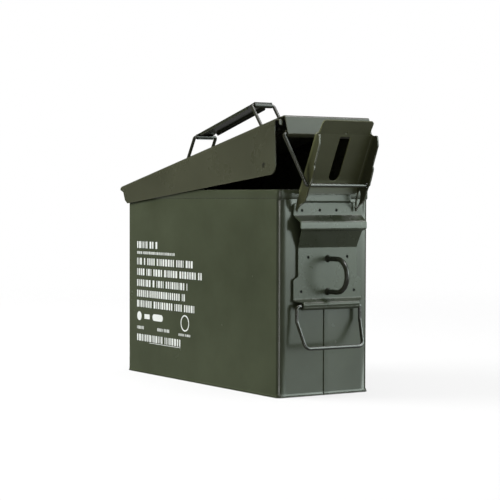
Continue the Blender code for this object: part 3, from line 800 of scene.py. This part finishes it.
# ---- top handle --------------------------------------------------------------------------
for tag, foot, bar in (("rear", HANDLE_REAR, BAR_REAR), ("front", HANDLE_FRONT, BAR_FRONT)):
    w = HANDLE_HALF
    loop = [(foot[0], -w, foot[1]), (foot[0], w, foot[1]), (bar[0], w, bar[1]), (bar[0], -w, bar[1])]
    pts = [ajar(*p) for p in fillet(loop, [2.2] * 4, 9, True)]
    place("loop_" + tag, wire_mesh("loop_" + tag, pts, HANDLE_WIRE, True), M_WIRE,
          "handle_loop_" + tag, ["handle_loop_" + tag])
    cl = fillet([(foot[0] - 7.5, 0, LID_TOP + 0.8), (foot[0] - 3.1, 0, LID_TOP + 0.8)], [0, 0]) \
        + [Vector((x, 0, z)) for x, z in arc(foot[0], foot[1], 2.4, 168, 12, 18)] \
        + [Vector((foot[0] + 3.1, 0, LID_TOP + 0.8)), Vector((foot[0] + 7.5, 0, LID_TOP + 0.8))]
    clp = Path([(p.x, p.z) for p in cl])
    for side, s in (("left", -1), ("right", 1)):
        y0, y1 = sorted((s * 2.5, s * 8.5))
        oc = fillet2([(y0, clp.s[0]), (y1, clp.s[0]), (y1, clp.s[-1]), (y0, clp.s[-1])], [1.2] * 4, 4, True)
        strip("clip_%s_%s" % (tag, side), clp, oc, M_LID, "lid", ["handle_clip_%s_%s" % (tag, side)],
              holes=[circle2((y0 + y1) / 2, clp.s[0] + 2.3, 0.7, 10),
                                 circle2((y0 + y1) / 2, clp.s[-1] - 2.3, 0.7, 10)])

gx0, gz0 = BAR_REAR
gx1, gz1 = BAR_FRONT
slope = math.atan2(gz1 - gz0, gx1 - gx0)
glen = math.hypot(gx1 - gx0, gz1 - gz0)
gl = arc(0, 0, 2.15, 262, 165, 10) + fillet2([(-2.2, 1.3), (-2.2, LIFT), (glen + 2.2, LIFT),
                                               (glen + 2.2, 1.3)], [0, 1.0, 1.0, 0], 5) \
    + arc(glen, 0, 2.15, 15, -82, 10)
gp = Path(gl)
gp.shift(0.0 - gp.s_of(lambda x, z: x >= 0 and z > LIFT - 0.5))
gr = 1.1
gv = 9.4 - 0.4 - gr
GB = gr * math.pi / 2


def grip_fn(u, v, w):
    a = abs(u)
    if a <= gv or v < 3 or v > glen - 6:
        (x, z), _ = gp.at(v)
        y = u
    else:
        sgn = 1 if u > 0 else -1
        th = min((a - gv) / gr, math.pi / 2)
        y, z, x = gv + gr * math.sin(th), LIFT - gr * (1 - math.cos(th)), v
        rest = a - gv - GB
        if rest > 0:
            z -= rest
        y *= sgn
    px_, pz_ = x * math.cos(slope) - z * math.sin(slope), x * math.sin(slope) + z * math.cos(slope)
    return ajar(gx0 + px_, y, gz0 + pz_)


wide = gv + GB + 1.7
right = [(8.9, gp.s[-1], 0.6), (8.9, glen - 6.6, 0.6), (gv + 0.2, glen - 7.5, 0.3), (gv + 0.2, glen - 8.6, 0.3),
         (wide, glen - 10.6, 0.8), (wide, 7.4, 0.8), (gv + 0.2, 5.4, 0.3), (gv + 0.2, 4.3, 0.3),
         (8.9, 3.5, 0.6), (8.9, gp.s[0], 0.6)]
og = [(a, b) for a, b, r in right] + [(-a, b) for a, b, r in reversed(right)]
rg = [r for *_, r in right] + [r for *_, r in reversed(right)]
cg = [gv + GB * k / 5 for k in range(6)]
bm = pattern(fillet2(og, rg, 4, True), cuts_u=[c * s for s in (-1, 1) for c in cg],
             cuts_v=gp.s[1:-1] + [20, 40, 60])
place("grip", mapped("grip", bm, grip_fn), M_FIT, "handle_grip", ["handle_grip"],
      sheet=0.8)

# ---- stencilled block on the long side ------------------------------------------------------
def block_marks():
    """Rows of plain blocks standing for stencilled lines; no characters."""
    rng = random.Random(7)
    polys = []

    def box(x0, z0, x1, z1):
        c = 0.28
        polys.append([(x0 + c, z0), (x1 - c, z0), (x1, z0 + c), (x1, z1 - c), (x1 - c, z1), (x0 + c, z1),
                      (x0, z1 - c), (x0, z0 + c)])

    def row(z, x0, x1, h, w, gap, breaks):
        """Plain bars, all of one height, with wider gaps now and then."""
        x = x0
        while x < x1 - w * 0.6:
            ww = w * rng.choice((0.55, 1.0, 1.0, 1.45))
            box(x, z - h / 2, x + ww, z + h / 2)
            x += ww + gap
            if rng.random() < breaks:
                x += w * 1.1

    left = -110.6
    for z, end, h in ((120.0, -71.5, 6.4), (104.5, -6.1, 6.4), (94.6, 7.6, 6.4), (84.3, -14.8, 6.4),
                      (74.4, -21.6, 6.4), (64.8, -2.6, 6.4), (33.1, -28.8, 6.4)):
        row(z, left, end, h, 2.2, 1.7, 0.12)
    for z, a, b, h in ((112.6, left, -39.8, 2.6), (42.4, left, -97.0, 3.0), (42.4, -72.0, -51.0, 3.0),
                       (40.8, -33.0, -10.0, 2.2)):
        row(z, a, b, h, 1.1, 0.9, 0.08)
    # a disc, a short bar, a pill and an open ring
    zc = 53.2
    polys.append([(left + 4.4 + 4.2 * math.cos(t), zc + 4.2 * math.sin(t))
                  for t in [2 * math.pi * i / 40 for i in range(40)]])
    box(-96.5, zc - 2.2, -86.5, zc + 2.2)
    polys.append([(-71.5 + (6.5 if math.cos(t) > 0 else -6.5) + 3.1 * math.cos(t), zc + 3.1 * math.sin(t))
                  for t in [2 * math.pi * (i + 0.5) / 40 for i in range(40)]])
    box(-104.0 + 17, 28.7, -30.0, 29.2)
    ring = []
    for rad in (7.4, 6.2):
        ring.append([(-22.0 + rad * math.cos(t), 51.6 + rad * math.sin(t))
                     for t in [2 * math.pi * i / 48 for i in range(48)]])
    bm_ = bmesh.new()
    y0, y1 = -(HY - 0.05), -(HY + 0.06)

    def prism(loop, inner=None):
        f = [bm_.verts.new((x * MM, y1 * MM, z * MM)) for x, z in loop]
        b = [bm_.verts.new((x * MM, y0 * MM, z * MM)) for x, z in loop]
        m_ = len(loop)
        if inner is None:
            bm_.faces.new(f)
            bm_.faces.new(b[::-1])
        else:
            fi = [bm_.verts.new((x * MM, y1 * MM, z * MM)) for x, z in inner]
            bi = [bm_.verts.new((x * MM, y0 * MM, z * MM)) for x, z in inner]
            for i in range(m_):
                j = (i + 1) % m_
                bm_.faces.new((f[i], f[j], fi[j], fi[i]))
                bm_.faces.new((b[j], b[i], bi[i], bi[j]))
                bm_.faces.new((fi[j], fi[i], bi[i], bi[j]))
        for i in range(m_):
            j = (i + 1) % m_
            bm_.faces.new((f[j], f[i], b[i], b[j]))

    for q in polys:
        prism(q)
    prism(ring[0], ring[1])
    bmesh.ops.recalc_face_normals(bm_, faces=bm_.faces[:])
    me_ = bpy.data.meshes.new("block_marks")
    bm_.to_mesh(me_)
    bm_.free()
    return me_


place("block_marks", block_marks(), M_INK, "can", [], sharp=30)

# ---- studio -----------------------------------------------------------------------------------
scene = bpy.context.scene
scene.view_settings.view_transform = "Standard"

# a pale floor round the object that fades out into the pale surround
me = bpy.data.meshes.new("floor")
bm = bmesh.new()
bmesh.ops.create_circle(bm, cap_ends=True, segments=96, radius=3.0)
bm.to_mesh(me)
bm.free()
floor = bpy.data.objects.new("floor", me)
fm = bpy.data.materials.new("floor_pale")
fm.use_nodes = True
nt = fm.node_tree
fb_ = nt.nodes["Principled BSDF"]
fb_.inputs["Base Color"].default_value = (0.93, 0.93, 0.93, 1)
fb_.inputs["Roughness"].default_value = 1.0
fb_.inputs["Specular IOR Level"].default_value = 0.0
tc = nt.nodes.new("ShaderNodeTexCoord")
ln = nt.nodes.new("ShaderNodeVectorMath")
ln.operation = "LENGTH"
mr = nt.nodes.new("ShaderNodeMapRange")
mr.interpolation_type = "SMOOTHSTEP"
mr.inputs["From Min"].default_value = 0.35
mr.inputs["From Max"].default_value = 1.6
mr.inputs["To Min"].default_value = 0.76
tr = nt.nodes.new("ShaderNodeBsdfTransparent")
mx = nt.nodes.new("ShaderNodeMixShader")
nt.links.new(tc.outputs["Object"], ln.inputs[0])
nt.links.new(ln.outputs["Value"], mr.inputs["Value"])
nt.links.new(mr.outputs["Result"], mx.inputs["Fac"])
nt.links.new(fb_.outputs["BSDF"], mx.inputs[1])
nt.links.new(tr.outputs["BSDF"], mx.inputs[2])
nt.links.new(mx.outputs["Shader"], nt.nodes["Material Output"].inputs["Surface"])
me.materials.append(fm)
scene.collection.objects.link(floor)

# surround: pale to look at, dim as a light, and nearly dark in reflections
world = bpy.data.worlds.new("studio")
scene.world = world
world.use_nodes = True
wt = world.node_tree
bg = wt.nodes["Background"]
bg.inputs["Color"].default_value = (1, 1, 1, 1)
lpth = wt.nodes.new("ShaderNodeLightPath")
SKY = 1.0


def wmath(op, a_, b_):
    n_ = wt.nodes.new("ShaderNodeMath")
    n_.operation = op
    for k_, v_ in enumerate((a_, b_)):
        if isinstance(v_, float):
            n_.inputs[k_].default_value = v_
        else:
            wt.links.new(v_, n_.inputs[k_])
    return n_.outputs[0]


wtc = wt.nodes.new("ShaderNodeTexCoord")
wsp = wt.nodes.new("ShaderNodeSeparateXYZ")
wt.links.new(wtc.outputs["Generated"], wsp.inputs[0])


def wramp(v, lo, hi, a, b):
    n_ = wt.nodes.new("ShaderNodeMapRange")
    n_.inputs["From Min"].default_value = lo
    n_.inputs["From Max"].default_value = hi
    n_.inputs["To Min"].default_value = a
    n_.inputs["To Max"].default_value = b
    wt.links.new(v, n_.inputs["Value"])
    return n_.outputs["Result"]


# soft light from above, little from below; reflections see a dark room
ambient = wramp(wsp.outputs[2], -0.15, 0.30, 0.26, 0.32)
mirror = wramp(wsp.outputs[2], -0.30, 0.10, 0.24, 0.03)
cam_ray, gls = lpth.outputs["Is Camera Ray"], lpth.outputs["Is Glossy Ray"]
rest = wmath("MULTIPLY", wmath("SUBTRACT", 1.0, cam_ray), wmath("SUBTRACT", 1.0, gls))
total = wmath("ADD", wmath("MULTIPLY", cam_ray, SKY), wmath("MULTIPLY", gls, mirror))
total = wmath("ADD", total, wmath("MULTIPLY", rest, ambient))
wt.links.new(total, bg.inputs["Strength"])
floor.visible_glossy = False
floor.visible_diffuse = False


def area(name, az, el, dist, sx, sy, radiance, target=(0.06, 0, 0.11), tint=(1, 1, 1), gloss=True, diff=True):
    """A soft box seen from the object at an azimuth from +X towards +Y."""
    l = bpy.data.lights.new(name, "AREA")
    l.shape = "RECTANGLE"
    l.size, l.size_y = sx, sy
    l.energy = radiance * math.pi * sx * sy
    l.color = tint
    o = bpy.data.objects.new(name, l)
    a_, e_ = math.radians(az), math.radians(el)
    d_ = Vector((math.cos(a_) * math.cos(e_), math.sin(a_) * math.cos(e_), math.sin(e_)))
    o.location = Vector(target) + d_ * dist
    # stands upright like a soft box on a stand
    zax = d_
    xax = Vector((0, 0, 1)).cross(zax).normalized()
    yax = zax.cross(xax)
    m_ = Matrix((xax, yax, zax)).transposed().to_4x4()
    m_.translation = o.location
    o.matrix_world = m_
    o.visible_camera = False
    o.visible_glossy = gloss
    o.visible_diffuse = diff
    scene.collection.objects.link(o)
    return o


area("box_front", 50, 4, 1.7, 1.9, 1.10, 1.5, tint=(0.87, 1.0, 0.95), diff=False)
area("box_upper", 50, 13, 1.68, 1.9, 0.80, 4.5, tint=(0.87, 1.0, 0.95), diff=False)
area("card_high", 46, 33, 1.6, 1.3, 0.42, 2.9, tint=(0.87, 1.0, 0.95), diff=False)
area("fill_front", 45, 0, 1.7, 1.2, 1.0, 0.55, gloss=False)
area("fill_side", -130, 22, 1.8, 1.3, 1.0, 9.6, gloss=False)
area("strip_corner", -28, 1, 1.62, 0.18, 1.1, 7.5, diff=False)
area("top_front", 54, 58, 1.6, 0.7, 0.6, 8.0, diff=False)
area("top", 20, 82, 1.9, 2.2, 2.2, 1.7)

# camera at the photograph's viewing angle
alpha, pitch, roll = 0.570955064, 0.0328026, 0.00266221
cp_, sp_ = math.cos(pitch), math.sin(pitch)
d = Vector((-cp_ * math.cos(alpha), cp_ * math.sin(alpha), -sp_))
r = Vector((math.sin(alpha), math.cos(alpha), 0))
u = Vector((-sp_ * math.cos(alpha), sp_ * math.sin(alpha), cp_))
rr = math.cos(roll) * r + math.sin(roll) * u
uu = math.cos(roll) * u - math.sin(roll) * r
cam = bpy.data.cameras.new("camera")
cam.lens, cam.sensor_width = 116.26, 36.0
co = bpy.data.objects.new("camera", cam)
m = Matrix((rr, uu, -d)).transposed().to_4x4()
m.translation = Vector((1.223775, -0.776848, 0.164867))
co.matrix_world = m
scene.collection.objects.link(co)
scene.camera = co

bpy.context.view_layer.update()
